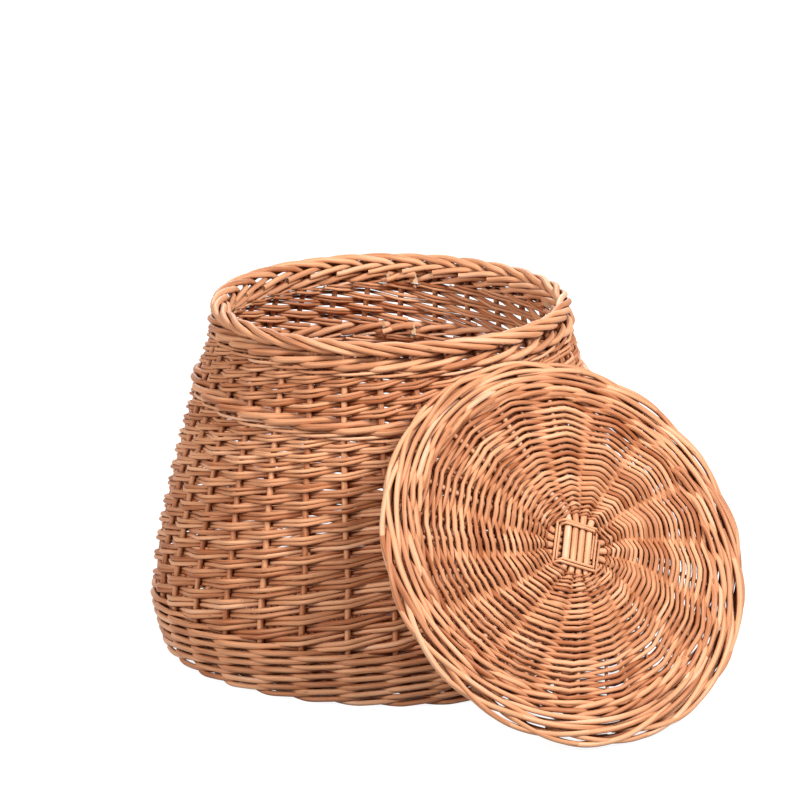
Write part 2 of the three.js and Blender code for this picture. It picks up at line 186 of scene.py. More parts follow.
class HamperColours(bpy.types.PropertyGroup):
    """Colours of peeled and steamed willow, and of the painted shade in its crevices."""

    deep: colour("Deep", "Darkest streaks", screen_colour(162, 88, 46))
    body: colour("Body", "Most of the rod", screen_colour(234, 170, 125))
    pale: colour("Pale", "Palest rods", screen_colour(253, 224, 200))
    # Painted shade: the colour the willow is turned to in crevices where the rods shade each other.
    crevice_shade: colour("Crevice", "Painted shade where rods shelter each other", screen_colour(108, 44, 11))
    knot: colour("Knot", "Knots and specks", screen_colour(112, 62, 34))
    cut: colour("Cut end", "Fresh cut across a rod", screen_colour(238, 204, 164))
    floor: colour("Floor", "Floor and surroundings", (1.0, 1.0, 1.0, 1.0))


def basket_sizes():
    return bpy.context.scene.hamper_basket


def lid_sizes():
    return bpy.context.scene.hamper_lid


def smooth(low, high, value):
    """0 below low, 1 above high, and an even curve between them."""
    share = min(max((value - low) / (high - low), 0.0), 1.0)
    return share * share * (3 - 2 * share)


def mix(first, second, share):
    """Value that lies a share of the way from the first to the second."""
    return first + (second - first) * share


def through(knots, place, closed=False):
    """Smooth curve through evenly spaced knots, at a place counted in knots."""
    index = math.floor(place)
    share = place - index
    places = (index - 1, index, index + 1, index + 2)
    if closed:
        near = [knots[step % len(knots)] for step in places]
    else:
        near = [knots[min(max(step, 0), len(knots) - 1)] for step in places]
    before, first, second, after = near
    slope_in = (second - before) / 2
    slope_out = (after - first) / 2
    rise = second - first
    return (
        first
        + slope_in * share
        + (3 * rise - 2 * slope_in - slope_out) * share**2
        + (slope_in + slope_out - 2 * rise) * share**3
    )


def bent(place):
    """Wave from 1 to -1 and back in two steps, straight between its rounded tops."""
    sharpness = 0.975
    return math.asin(sharpness * math.cos(math.pi * place)) / math.asin(sharpness)


def chord(place, step):
    """Share of the radius that is left on a straight line between corners, which lie at whole places."""
    return math.cos(step / 2) / math.cos((place - math.floor(place) - 0.5) * step)


def wander(chance, size):
    """A slow wave of about the given size that is different for every rod."""
    waves = []
    for _ in range(3):
        height = chance.uniform(0.2, 0.6) * size
        rate = chance.uniform(0.3, 1.4)
        waves.append((height, rate, chance.uniform(0, math.tau)))
    return lambda place: sum(height * math.sin(rate * place + start) for height, rate, start in waves)


def steps(first, last, spacing):
    """Even places from first to last, no further apart than the spacing."""
    count = max(1, math.ceil((last - first) / spacing))
    return [mix(first, last, step / count) for step in range(count + 1)]


def tapered(points, butt, tip):
    """A rod along the points that thins from its butt to its tip."""
    last = len(points) - 1
    return points, [mix(butt, tip, step / last) for step in range(last + 1)]


def wall_radius(height):
    """Outside radius of the wall at a height, on one smooth curve through its stations."""
    sizes = basket_sizes()
    stations = (
        (0.0, sizes.foot_radius),
        (sizes.belly_height, sizes.belly_radius),
        (sizes.flank_height, sizes.flank_radius),
        (sizes.shoulder_height, sizes.shoulder_radius),
        (sizes.neck_height, sizes.neck_radius),
    )
    heights, radii = zip(*stations)
    upper = 1
    while upper < len(heights) - 1 and height > heights[upper]:
        upper += 1
    lower = upper - 1
    before = lower - 1 if lower > 0 else upper
    after = upper + 1 if upper + 1 < len(heights) else lower
    span = heights[upper] - heights[lower]
    early = span / 2 / (heights[lower] - heights[before])
    late = span / 2 / (heights[after] - heights[upper])
    share = (height - heights[lower]) / span
    return (
        radii[before] * early * share * (2 * share - share**2 - 1)
        + radii[lower] * ((1 + early) * share**3 - (1.5 + 2 * early) * share**2 + (early - 0.5) * share + 1)
        + radii[upper] * ((1.5 + late) * share**2 - (1 + late) * share**3 + 0.5 * share)
        + radii[after] * late * share**2 * (share - 1)
    )


def stake_radius(height):
    """Radius at which the stakes stand at a height, drawn in under the rounded foot."""
    sizes = basket_sizes()
    drop = max(0.0, sizes.foot_rounding - height)
    tuck = sizes.foot_rounding - math.sqrt(max(0.0, sizes.foot_rounding**2 - drop**2))
    return wall_radius(max(height, 0.0)) - sizes.wall_thickness / 2 - tuck


def sector():
    """Angle from one stake to the next."""
    return math.tau / basket_sizes().stakes


def basket_point(radius, turns, height):
    """Point at a radius, an angle counted in stakes, which lean over above the belly, and a height."""
    sizes = basket_sizes()
    rise = min(max(height - sizes.lean_start, 0.0) / (sizes.neck_height - sizes.lean_start), 1.0)
    turn = sizes.turn + sizes.lean * rise + turns * sector()
    axis = middle_of_basket
    return Vector((axis.x + radius * math.cos(turn), axis.y + radius * math.sin(turn), height))


def set_in_scene(name, data):
    """A new object that shows the data, linked to the scene."""
    item = bpy.data.objects.new(name, data)
    bpy.context.scene.collection.objects.link(item)
    return item


class NodeBench:
    """Adds nodes to one tree and fills their sockets."""

    def __init__(self, tree):
        self.tree = tree

    def feed(self, node, sockets):
        """Gives sockets, by name or number, a value or the output that they are joined to."""
        for key, value in sockets.items():
            if isinstance(value, bpy.types.NodeSocket):
                self.tree.links.new(value, node.inputs[key])
            else:
                node.inputs[key].default_value = value

    def add(self, kind, sockets=None, **settings):
        """A new node with its settings made and its sockets fed."""
        node = self.tree.nodes.new(kind)
        for name, value in settings.items():
            setattr(node, name, value)
        self.feed(node, sockets or {})
        return node

    def calculate(self, operation, *values):
        """Output of a calculation on values or outputs."""
        return self.add("ShaderNodeMath", dict(enumerate(values)), operation=operation).outputs[0]

    def seen_directly(self):
        """Output that is 1 for the camera, and for what shows in a gloss or through a clear surface."""
        path = self.add("ShaderNodeLightPath")
        seen = path.outputs["Is Camera Ray"]
        for ray in ("Is Glossy Ray", "Is Transmission Ray"):
            seen = self.calculate("MAXIMUM", seen, path.outputs[ray])
        return seen


def rod_tree():
    """Node tree that sweeps a round rod along every guide line and marks its rods for the willow."""
    made = bpy.data.node_groups.get(ROD_TREE)
    if made:
        return made
    tree = bpy.data.node_groups.new(ROD_TREE, "GeometryNodeTree")
    for name, kind in (("Guides", "Geometry"), ("Sides", "Int"), ("Seed", "Int"), ("Willow", "Material")):
        tree.interface.new_socket(name, in_out="INPUT", socket_type="NodeSocket" + kind)
    tree.interface.new_socket("Rods", in_out="OUTPUT", socket_type="NodeSocketGeometry")
    bench = NodeBench(tree)
    add = bench.add
    calculate = bench.calculate
    grain_apart = 9.0
    most_side_corners = 4.5

    def store(geometry, name, value, data_type, domain):
        kind = "GeometryNodeStoreNamedAttribute"
        sockets = {"Geometry": geometry, "Name": name, "Value": value}
        return add(kind, sockets, data_type=data_type, domain=domain).outputs["Geometry"]

    entry = add("NodeGroupInput")
    chance = add("FunctionNodeRandomValue", {"Seed": entry.outputs["Seed"]}, data_type="FLOAT")
    tones = store(entry.outputs["Guides"], "rod_tone", chance.outputs[1], "FLOAT", "CURVE")
    tone = add("GeometryNodeInputNamedAttribute", {"Name": "rod_tone"}, data_type="FLOAT")
    along = add("GeometryNodeSplineParameter").outputs["Length"]
    apart = calculate("MULTIPLY_ADD", tone.outputs["Attribute"], grain_apart, along)
    measured = store(tones, "rod_along", apart, "FLOAT", "POINT")

    round_section = {"Resolution": entry.outputs["Sides"], "Radius": 1.0}
    circle = add("GeometryNodeCurvePrimitiveCircle", round_section)
    place = add("GeometryNodeInputPosition").outputs[0]
    section = store(circle.outputs["Curve"], "rod_section", place, "FLOAT_VECTOR", "POINT")
    radius = add("GeometryNodeInputRadius").outputs[0]
    rod = {"Curve": measured, "Profile Curve": section, "Scale": radius, "Fill Caps": True}
    sweep = add("GeometryNodeCurveToMesh", rod)

    corners = add("GeometryNodeCornersOfFace").outputs["Total"]
    is_end = calculate("GREATER_THAN", corners, most_side_corners)
    is_side = calculate("LESS_THAN", corners, most_side_corners)
    ends = store(sweep.outputs["Mesh"], "rod_end", is_end, "FLOAT", "FACE")
    shade = add("GeometryNodeSetShadeSmooth", {"Geometry": ends, "Shade Smooth": is_side})
    realize = add("GeometryNodeRealizeInstances", {"Geometry": shade.outputs["Geometry"]})
    finish = {"Geometry": realize.outputs["Geometry"], "Material": entry.outputs["Willow"]}
    paint = add("GeometryNodeSetMaterial", finish)
    add("NodeGroupOutput", {"Rods": paint.outputs["Geometry"]})
    return tree


def weave(name, rods, use, sides, seed):
    """One mesh of all the rods, each given as its points and the radius at every point, in willow."""
    guide = bpy.data.curves.new(name + "_guide", "CURVE")
    guide.dimensions = "3D"
    for points, radii in rods:
        spline = guide.splines.new("POLY")
        spline.points.add(len(points) - 1)
        spline.points.foreach_set("co", [value for point in points for value in (*point, 1.0)])
        spline.points.foreach_set("radius", radii)
    holder = set_in_scene(name + "_guide", guide)
    modifier = holder.modifiers.new(ROD_TREE, "NODES")
    tree = rod_tree()
    modifier.node_group = tree
    inputs = {"Sides": sides, "Seed": seed, "Willow": willow(use)}
    for item in tree.interface.items_tree:
        if item.name in inputs:
            modifier[item.identifier] = inputs[item.name]
    depsgraph = bpy.context.evaluated_depsgraph_get()
    swept = holder.evaluated_get(depsgraph)
    mesh = bpy.data.meshes.new_from_object(swept, preserve_all_data_layers=True, depsgraph=depsgraph)
    mesh.name = name
    holder.modifiers.remove(modifier)
    bpy.data.objects.remove(holder)
    bpy.data.curves.remove(guide)
    return set_in_scene(name, mesh)


def willow(use):
    """Satin peeled willow, with painted shade in its crevices. The tone for its use moves all its rods
    towards deep or pale.
    """
    name = use + " willow"
    made = bpy.data.materials.get(name)
    if made:
        return made
    colours = bpy.context.scene.hamper_colours
    material = bpy.data.materials.new(name)
    material.use_nodes = True
    bench = NodeBench(material.node_tree)
    add = bench.add
    calculate = bench.calculate

    def attribute(label, output):
        return add("ShaderNodeAttribute", attribute_name=label).outputs[output]

    def stretched(source, across, lengthwise):
        sockets = {"Vector": source, "Scale": (across, across, lengthwise)}
        return add("ShaderNodeMapping", sockets).outputs["Vector"]

    def noise(source, detail):
        sockets = {"Vector": source, "Scale": 1.0, "Detail": detail}
        return add("ShaderNodeTexNoise", sockets).outputs["Fac"]

    def blend(share, first, second):
        return add("ShaderNodeMix", {0: share, 6: first, 7: second}, data_type="RGBA").outputs[2]

    around = add("ShaderNodeSeparateXYZ", {0: attribute("rod_section", "Vector")})
    lines = {0: around.outputs[0], 1: around.outputs[1], 2: attribute("rod_along", "Fac")}
    grain = add("ShaderNodeCombineXYZ", lines).outputs[0]
    fibres = noise(stretched(grain, across=3.2, lengthwise=14.0), detail=3.0)
    patches = noise(stretched(grain, across=0.55, lengthwise=17.0), detail=2.0)

    tone = TONES[use]
    for source, amount in ((attribute("rod_tone", "Fac"), 0.24), (patches, 0.48), (fibres, 0.46)):
        tone = calculate("MULTIPLY_ADD", source, amount, tone)
    ramp = add("ShaderNodeValToRGB", {0: tone})
    stops = ramp.color_ramp.elements
    stops[0].position = 0.30
    stops[0].color = colours.deep
    stops[1].position = 1.0
    stops[1].color = colours.pale
    stops.new(0.62).color = colours.body

    flecks = stretched(grain, across=0.9, lengthwise=46.0)
    spots = add("ShaderNodeTexVoronoi", {"Vector": flecks, "Scale": 1.0})
    chosen = add("ShaderNodeSeparateColor", {0: spots.outputs["Color"]}).outputs[0]
    rare = calculate("GREATER_THAN", chosen, 0.88)
    near = calculate("LESS_THAN", spots.outputs["Distance"], 0.13)
    knots = calculate("MULTIPLY", calculate("MULTIPLY", rare, near), 0.7)
    skin = blend(knots, ramp.outputs[0], colours.knot)
    surface = blend(attribute("rod_end", "Fac"), skin, colours.cut)
    # Painted shade: where ambient occlusion finds other rods close by, the colour is pulled towards the
    # crevice shade colour.
    open_air = add("ShaderNodeAmbientOcclusion", {"Distance": 0.012}, samples=8).outputs["AO"]
    shelter = add(
        "ShaderNodeMapRange",
        {"Value": open_air, "From Min": 0.15, "From Max": 0.62, "To Min": 0.80, "To Max": 0.0},
        interpolation_type="SMOOTHSTEP",
    )
    surface = blend(shelter.outputs["Result"], surface, colours.crevice_shade)

    rough = add("ShaderNodeMapRange", {"Value": fibres, "To Min": 0.40, "To Max": 0.60})
    relief = calculate("SUBTRACT", fibres, knots)
    bump = add("ShaderNodeBump", {"Height": relief, "Strength": 0.35, "Distance": 0.0006})
    satin = {
        "Base Color": surface,
        "Roughness": rough.outputs["Result"],
        "Specular IOR Level": 0.3,
        "Normal": bump.outputs["Normal"],
    }
    bench.feed(material.node_tree.nodes["Principled BSDF"], satin)
    return material


def fit(piece, body, slot, *nodes):
    """Sets a finished piece in the frame in place of its nodes."""
    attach(piece, body)
    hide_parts(*nodes)


def rand_rods(bottom, top, passes, crowding, butt, tip, seed):
    """Pairs of weavers, a pair for each stake, that climb round the wall before and behind stakes."""
    sizes = basket_sizes()
    chance = random.Random(seed)
    last = 2 * passes
    pair_spacing = 2.06
    squeezed = 0.86
    proud = 0.0004
    straightness = 0.9
    rods = []
    for stake in range(sizes.stakes):
        for side in (-0.5, 0.5):
            level = wander(chance, 0.0006)
            depth = wander(chance, 0.0004)
            girth = chance.uniform(0.93, 1.07) / 2
            start = -chance.uniform(0.25, 0.45)
            end = last + chance.uniform(0.25, 0.5)
            points = []
            radii = []
            for place in steps(start, end, 1 / SAMPLES_PER_STAKE):
                share = place / last
                wave = bent(place)
                radius = mix(butt, tip, share) * girth
                height = mix(bottom, top, (1 + crowding) * share - crowding * share**2)
                height += side * pair_spacing * radius * mix(squeezed, 1.0, abs(wave)) + level(place)
                tuck = smooth(0.1, 0.5, max(-place, place - last)) * butt
                swing = sizes.wall_thickness / 2 + proud - radius
                ring = stake_radius(height) * mix(1.0, chord(place, sector()), straightness)
                ring += depth(place) - swing * wave - tuck
                points.append(basket_point(ring, stake + place, height))
                radii.append(radius)
            rods.append((points, radii))
    return rods


def climbed(place, count, step):
    """Rounds climbed at a place. A round of count places is level and steps up to the next at its end."""
    rounds, along = divmod(place, count)
    return rounds + smooth(count - step, count, along)


def wale_course(place, strand):
    """Shares of the reach out and the spread up of a strand, before two stakes and behind one."""
    outward = (-1.0, -0.45, 1.15, 1.2, 0.85, -0.45)
    upward = (0.3, -1.0, -0.55, 0.0, 0.5, 0.8)
    phase = 2 * (place + strand)
    return through(outward, phase, closed=True), through(upward, phase, closed=True)


def wale_stretches(chance, total, shortest, longest):
    """Strand, start and end of every rod of a wale. A strand is carried on rod after rod."""
    stretches = []
    for strand in range(3):
        joint = -strand
        while joint < total:
            end = joint + 3 * chance.randint(shortest, longest)
            stretches.append((strand, max(joint, 0), min(end, total)))
            joint = end
    return stretches


def end_tuck(place, first, last):
    """0 along a rod and 1 at its two ends, which run on past first and last."""
    return smooth(0.1, END_RUN, max(first - place, place - last))


def wale_rods(diameter, spread, start, seed, pitch=0.0, rounds=1):
    """Rods of a wale round the wall, from its first round up."""
    sizes = basket_sizes()
    chance = random.Random(seed)
    reach = (sizes.stake_diameter + diameter) / 2
    rods = []
    for strand, first, last in wale_stretches(chance, rounds * sizes.stakes, shortest=7, longest=9):
        level = wander(chance, 0.0009)
        depth = wander(chance, 0.0004)
        radius = chance.uniform(0.94, 1.06) * diameter / 2
        points = []
        for place in steps(first - END_RUN, last + END_RUN, 1 / (SAMPLES_PER_STAKE + 1)):
            outward, upward = wale_course(place, strand)
            climb = climbed(place, sizes.stakes, sizes.wale_step)
            height = max(start + pitch * climb + spread * upward + level(place), radius)
            out = reach * outward + depth(place) - 0.8 * diameter * end_tuck(place, first, last)
            points.append(basket_point(stake_radius(height) + out, place + sizes.wale_start, height))
        rods.append(tapered(points, 1.05 * radius, 0.90 * radius))
    return rods


class HAMPER_OT_stakes(bpy.types.Operator):
    """Stand the upright rods of the basket"""

    bl_idname = "hamper.stakes"
    bl_label = "Stakes"

    def execute(self, context):
        sizes = basket_sizes()
        chance = random.Random(11)
        foot = band_of("stake_01")[0]
        foot_inset = 0.010
        samples = 44
        rods = []
        for stake in range(sizes.stakes):
            lean = wander(chance, 0.025)
            points = []
            for place in steps(0.0, 1.0, 1 / samples):
                height = mix(foot, sizes.neck_height, place)
                inset = foot_inset * (1 - smooth(0.0, 0.06, place)) ** 2
                points.append(basket_point(stake_radius(height) - inset, stake + lean(6 * place), height))
            radius = sizes.stake_diameter / 2 * chance.uniform(0.94, 1.05)
            rods.append(tapered(points, 1.03 * radius, 0.95 * radius))
        piece = weave("stake_rods", rods, "Stake", sides=10, seed=1)
        nodes = [f"stake_{number:02d}" for number in range(1, sizes.stakes + 1)]
        fit(piece, "basket", "stake_rods", *nodes)
        return {"FINISHED"}


class HAMPER_OT_foot_wale(bpy.types.Operator):
    """Weave the rounds of three-rod wale at the foot"""

    bl_idname = "hamper.foot_wale"
    bl_label = "Foot wale"

    def execute(self, context):
        sizes = basket_sizes()
        low, high = band_of("foot_wale")
        spare_rounds = 0.35
        pitch = (high - low) / (sizes.wale_rounds + spare_rounds)
        start = low + pitch / 2
        spread = 0.54 * pitch
        rods = wale_rods(sizes.wale_diameter, spread, start, 21, pitch, sizes.wale_rounds)
        piece = weave("foot_wale_rods", rods, "Foot", sides=10, seed=2)
        fit(piece, "basket", "wale_rods", "foot_wale")
        return {"FINISHED"}


class HAMPER_OT_rands(bpy.types.Operator):
    """Weave the two bands of paired rods up the wall"""

    bl_idname = "hamper.rands"
    bl_label = "Rands"

    def execute(self, context):
        sizes = basket_sizes()
        dip = 0.0042
        lap = 0.0030
        clear = 0.0014
        low, high = band_of("lower_rand")
        climb = (sizes.lower_passes, sizes.lower_crowding, sizes.lower_butt, sizes.lower_tip)
        lower = rand_rods(low - dip, high + lap, *climb, seed=31)
        low, high = band_of("upper_rand")
        climb = (sizes.upper_passes, 0.0, sizes.upper_butt, sizes.upper_tip)
        upper = rand_rods(low, high - clear, *climb, seed=32)
        for node, rods, seed in (("lower_rand", lower, 3), ("upper_rand", upper, 4)):
            piece = weave(node + "_rods", rods, "Weaver", sides=8, seed=seed)
            fit(piece, "basket", "weaver_rods", node)
        return {"FINISHED"}


class HAMPER_OT_wales(bpy.types.Operator):
    """Weave a thin and a thick round above each rand"""

    bl_idname = "hamper.wales"
    bl_label = "Wales"

    def execute(self, context):
        sizes = basket_sizes()
        thick_spread = 0.62 * sizes.thick_diameter
        thin_spread = 0.9 * sizes.thin_diameter
        thin_drop = 0.0090
        for node, thick_drop, seed in (("middle_wale", 0.0085, 41), ("top_wale", 0.0068, 43)):
            thick_level = band_of(node)[1] - thick_drop
            thin_level = thick_level - thin_drop
            rods = wale_rods(sizes.thin_diameter, thin_spread, thin_level, seed)
            rods += wale_rods(sizes.thick_diameter, thick_spread, thick_level, seed + 1)
            piece = weave(node + "_rods", rods, "Wale", sides=10, seed=seed)
            fit(piece, "basket", "wale_rods", node)
        return {"FINISHED"}


class HAMPER_OT_border(bpy.types.Operator):
    """Roll the stake tops over each other into the border"""

    bl_idname = "hamper.border"
    bl_label = "Border"

    def execute(self, context):
        sizes = basket_sizes()
        chance = random.Random(51)
        low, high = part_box("border")
        inset = 0.0093
        middle = (high.x - low.x) / 2 - inset
        outs = (-25, -40, -52, -20, 30, 52, 46, 10, -85, -105, -105)
        drops = (190, 92, 57, 35, 47, 73, 107, 132, 122, 147, 182)
        sample_step = 0.09
        rods = []
        for stake in range(sizes.stakes):
            depth = wander(chance, 0.0004)
            radius = sizes.border_diameter / 2 * chance.uniform(0.95, 1.05)
            points = []
            for place in steps(0.0, chance.uniform(4.85, 5.15), sample_step):
                out = through(outs, 2 * place) * TENTH_MM + depth(place)
                height = high.z - through(drops, 2 * place) * TENTH_MM
                points.append(basket_point(middle + out, stake + place, height))
            points, radii = tapered(points, radius, 0.84 * radius)
            radii[0] = sizes.stake_diameter / 2
            rods.append((points, radii))
        piece = weave("border_rods", rods, "Border", sides=12, seed=5)
        fit(piece, "basket", "border_rods", "border")
        return {"FINISHED"}


def stick_offset(index):
    """Place of a stick in its layer, counted in sticks from the layer's middle."""
    return index - (STICKS_PER_LAYER - 1) / 2


class Disc:
    """A woven disc: a cross of sticks that opens into spokes, its binding and its weave."""

    def __init__(self, place, reach, edge, seed):
        self.place = place
        self.reach = reach
        self.edge = edge
        self.cross_shift = Vector()
        self.ring_shift = Vector()
        self.chance = random.Random(seed)

    def shift(self, radius):
        """How far a round of the disc lies from the middle of its rim."""
        sizes = lid_sizes()
        near_cross = min(max((self.edge - radius) / (self.edge - sizes.fan_radius), 0.0), 1.0)
        inside = min(radius / self.edge, 1.0)
        beyond = max(radius - self.edge, 0.0) / sizes.border_width
        near_ring = max(inside - beyond, 0.0)
        return near_cross * self.cross_shift + near_ring * self.ring_shift

    def point(self, radius, turn, height):
        """Point in the scene at a radius, a turn and a height on the disc."""
        flat = Vector((radius * math.cos(turn), radius * math.sin(turn), height))
        return self.place @ (flat + self.shift(radius))

    def stick_course(self, layer, index, along):
        """Sideways place and height of a stick at a distance from the middle."""
        sizes = lid_sizes()
        offset = stick_offset(index)
        opened = smooth(CROSS_HALF, sizes.fan_radius, abs(along))
        spoke = abs(along) * math.tan(offset * math.tau / SPOKES)
        across = mix(offset * sizes.stick_spacing, spoke, opened)
        lift = (1 if layer == 0 else -1) * sizes.stick_spacing / 2 * (1 - opened)
        return across, lift

    def stick_rods(self):
        """Two crossed layers of sticks, each from rim to rim."""
        sizes = lid_sizes()
        thinning = 0.22
        sample_step = 0.005
        rods = []
        for layer in range(2):
            for index in range(STICKS_PER_LAYER):
                end = self.reach * math.cos(stick_offset(index) * math.tau / SPOKES)
                quarter = math.pi / 2 if layer == 0 else 0.0
                points = []
                radii = []
                for along in steps(-end, end, sample_step):
                    across, lift = self.stick_course(layer, index, along)
                    turn = math.atan2(across, along) + quarter
                    points.append(self.point(math.hypot(along, across), turn, lift))
                    thinned = thinning * smooth(SPOKE_THINNING, self.reach, abs(along))
                    radii.append(sizes.stick_diameter / 2 * (1 - thinned))
                rods.append((points, radii))
        return rods

    def spoke(self, number, radius):
        """Angle and height of a spoke at a radius. Spokes are counted round from the first of layer 1."""
        quarter, index = divmod(number % SPOKES, STICKS_PER_LAYER)
        layer = 1 - quarter % 2
        turn = stick_offset(index) * math.tau / SPOKES
        for _ in range(3):
            across, lift = self.stick_course(layer, index, radius * math.cos(turn))
            turn = math.atan2(across, radius * math.cos(turn))
        laps = number // SPOKES
        return turn + quarter * math.pi / 2 + laps * math.tau, lift

    def binding_rods(self, rounds):
        """Rounds of two strands that hold the cross, one before and one behind on each of its sides."""
        sizes = lid_sizes()
        radius = sizes.binding_diameter / 2
        clear = sizes.stick_diameter / 2 + radius
        lift = sizes.stick_spacing / 2
        round_width = 1.12 * sizes.binding_diameter
        strand_apart = 0.0004
        least_cosine = 0.74
        end = 0.3
        samples = 48
        rods = []
        for strand, face in enumerate((-lift - clear, clear - lift)):
            wave = wander(self.chance, 0.0006)
            points = []
            for place in steps(-end, 4 * rounds + end, 1 / samples):
                side = math.floor(place + 0.5)
                share = place - side
                half = sizes.binding_reach + round_width * place / 4 + strand * strand_apart
                corner = half / max(math.cos(share * math.pi / 2), least_cosine)
                level = face if side % 2 == 0 else -face
                height = mix(level, -level, 0.5 * smooth(0.43, 0.5, abs(share)))
                points.append(self.point(corner + wave(place), place * math.pi / 2, height))
            rods.append(tapered(points, radius, 0.92 * radius))
        return rods

    def bye_offset(self, ring):
        """Turn from a spoke to the thin rod that opens out beside it."""
        sizes = lid_sizes()
        opened = smooth(sizes.bye_start, sizes.bye_start + sizes.bye_opening, ring)
        return mix(0.35, 1.0, opened) * sizes.bye_spread

    def bye_share(self, ring):
        """0 where a spoke is alone and 1 where the weave passes it together with its thin rod."""
        start = lid_sizes().bye_start
        return smooth(start - BYE_TAIL, start + BYE_TAIL, ring)

    def warp(self, number, ring):
        """Turn, height and half thickness of a spoke or of a spoke and its thin rod, clockwise."""
        turn, lift = self.spoke(-number, ring)
        half = lid_sizes().stick_diameter / 2 * mix(1.0, 0.8, smooth(SPOKE_THINNING, self.edge, ring))
        return turn - self.bye_share(ring) * self.bye_offset(ring) / 2, lift, half

    def round_radius(self, rounds, fine_rounds):
        """Radius after a number of rounds. The fine rounds next to the cross widen one by one."""
        sizes = lid_sizes()
        fine = min(rounds, fine_rounds)
        widening = (sizes.weave_pitch - sizes.fine_pitch) * fine / 2 / fine_rounds
        first = sizes.weave_start + sizes.weaver_diameter / 2
        return first + (sizes.fine_pitch + widening) * fine + sizes.weave_pitch * (rounds - fine)

    def weave_rods(self, edge):
        """Rounds of pairing: two strands twist together, one before and one behind every spoke."""
        sizes = lid_sizes()
        last_ring = edge - sizes.weaver_diameter / 2
        fine_width = sizes.bye_start + BYE_TAIL - sizes.weave_start
        fine_rounds = round(2 * fine_width / (sizes.fine_pitch + sizes.weave_pitch))
        outer_width = last_ring - self.round_radius(fine_rounds, fine_rounds)
        total = SPOKES * (fine_rounds + math.ceil(outer_width / sizes.weave_pitch) + 1)
        thin_share = 0.64
        straightness = 0.8
        twist_share = 0.27
        bye_flattening = 0.25
        run = 0.4
        rods = []
        for strand in range(2):
            joint = 0
            while joint < total:
                stretch = self.chance.randint(14, 26)
                last = min(joint + stretch, total)
                girth = self.chance.uniform(0.86, 1.14) * sizes.weaver_diameter / 2
                wave = wander(self.chance, 0.0007)
                points = []
                radii = []
                for place in steps(joint - run, last + run, 1 / SAMPLES_PER_SPOKE):
                    ring = min(self.round_radius(place / SPOKES, fine_rounds), last_ring)
                    number = math.floor(place)
                    share = place - number
                    left, left_lift, left_half = self.warp(number, ring)
                    right, right_lift, right_half = self.warp(number + 1, ring)
                    across = smooth(0, 1, share)
                    thick = girth * mix(thin_share, 1.0, smooth(0.03, 0.085, ring))
                    over = mix(left_half, right_half, across) + thick
                    tuck = smooth(0.05, run, max(joint - place, place - last)) * END_TUCK
                    straight = ring * mix(1.0, chord(place, left - right), straightness)
                    widened = min(place / SPOKES / fine_rounds, 1.0)
                    pitch = mix(sizes.fine_pitch, sizes.weave_pitch, widened)
                    twist = twist_share * pitch * math.sin(math.pi * (place + strand))
                    level = (1 + bye_flattening * self.bye_share(ring)) * bent(place + strand)
                    height = mix(left_lift, right_lift, across) + over * min(max(level, -1), 1) - tuck
                    turn = mix(left, right, share)
                    points.append(self.point(straight + twist + wave(place), turn, height))
                    radii.append(thick)
                rods.append((points, radii))
                joint += stretch
        return rods

    def bye_rods(self, edge):
        """Thin rods, one beside every spoke in the outer weave."""
        sizes = lid_sizes()
        sample_step = 0.006
        rods = []
        for number in range(SPOKES):
            radius = sizes.bye_diameter / 2 * self.chance.uniform(0.9, 1.1)
            points = []
            for ring in steps(sizes.bye_start - BYE_TAIL, edge, sample_step):
                turn = self.spoke(number, ring)[0] - self.bye_offset(ring)
                points.append(self.point(ring, turn, 0.0))
            rods.append(tapered(points, 0.9 * radius, radius))
        return rods

    def wale_rods(self, inner, outer, count):
        """Two rounds of thick wale outside the weave, worked clockwise over a count of rods."""
        sizes = lid_sizes()
        reach = (0.8 * sizes.stick_diameter + sizes.border_diameter) / 2
        rounds = 2
        pitch = (outer - inner) / rounds
        samples = 16
        rods = []
        for strand, first, last in wale_stretches(self.chance, rounds * count, count // 8, count // 4):
            level = wander(self.chance, 0.0011)
            depth = wander(self.chance, 0.0005)
            radius = self.chance.uniform(0.90, 1.10) * sizes.border_diameter / 2
            points = []
            for place in steps(first - END_RUN, last + END_RUN, 1 / samples):
                outward, upward = wale_course(place, strand)
                climb = climbed(place, count, count / 4)
                ring = inner + pitch * (climb + 0.5 + 0.5 * upward) + level(2 * place)
                height = reach * outward + depth(place) - END_TUCK * end_tuck(place, first, last)
                turn = self.spoke(0, inner)[0] - place * math.tau / count
                points.append(self.point(ring, turn, height))
            rods.append(tapered(points, 1.06 * radius, 0.88 * radius))
        return rods

    def rim_rods(self, radius):
        """Two rods from every spoke, plaited over the edge: one down the front and one behind."""
        sizes = lid_sizes()
        down_front = ((-170, -90, -34, -34, -90, -160), (-40, -52, -10, 46, 36, -5))
        away_behind = ((-170, -120, -55, -34, -80, -150), (22, 64, 58, -5, -52, -40))
        most_proud = 0.0005
        sample_step = 0.06
        rods = []
        for number in range(SPOKES):
            for late, (rings, heights) in ((0.0, down_front), (0.5, away_behind)):
                girth = sizes.border_diameter / 2 * self.chance.uniform(0.92, 1.12)
                wave = wander(self.chance, 0.0008)
                points = []
                for place in steps(0.0, 2.5, sample_step):
                    ring = radius + through(rings, 2 * place) * TENTH_MM
                    ring += min(wave(3 * place), most_proud)
                    turn = self.spoke(number, radius)[0] - (place + late) * math.tau / SPOKES
                    points.append(self.point(ring, turn, through(heights, 2 * place) * TENTH_MM))
                rods.append(tapered(points, 1.04 * girth, 0.88 * girth))
        return rods


def base_disc():
    """The base, level inside the foot and turned with the stakes."""
    place = Matrix.Translation((middle_of_basket.x, middle_of_basket.y, middle_of("base_weave").z))
    place = place @ Matrix.Rotation(basket_sizes().turn, 4, "Z")
    low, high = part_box("base_weave")
    edge = (high.x - low.x) / 2
    spoke_clear = 0.004
    return Disc(place, edge - spoke_clear, edge, seed=61)


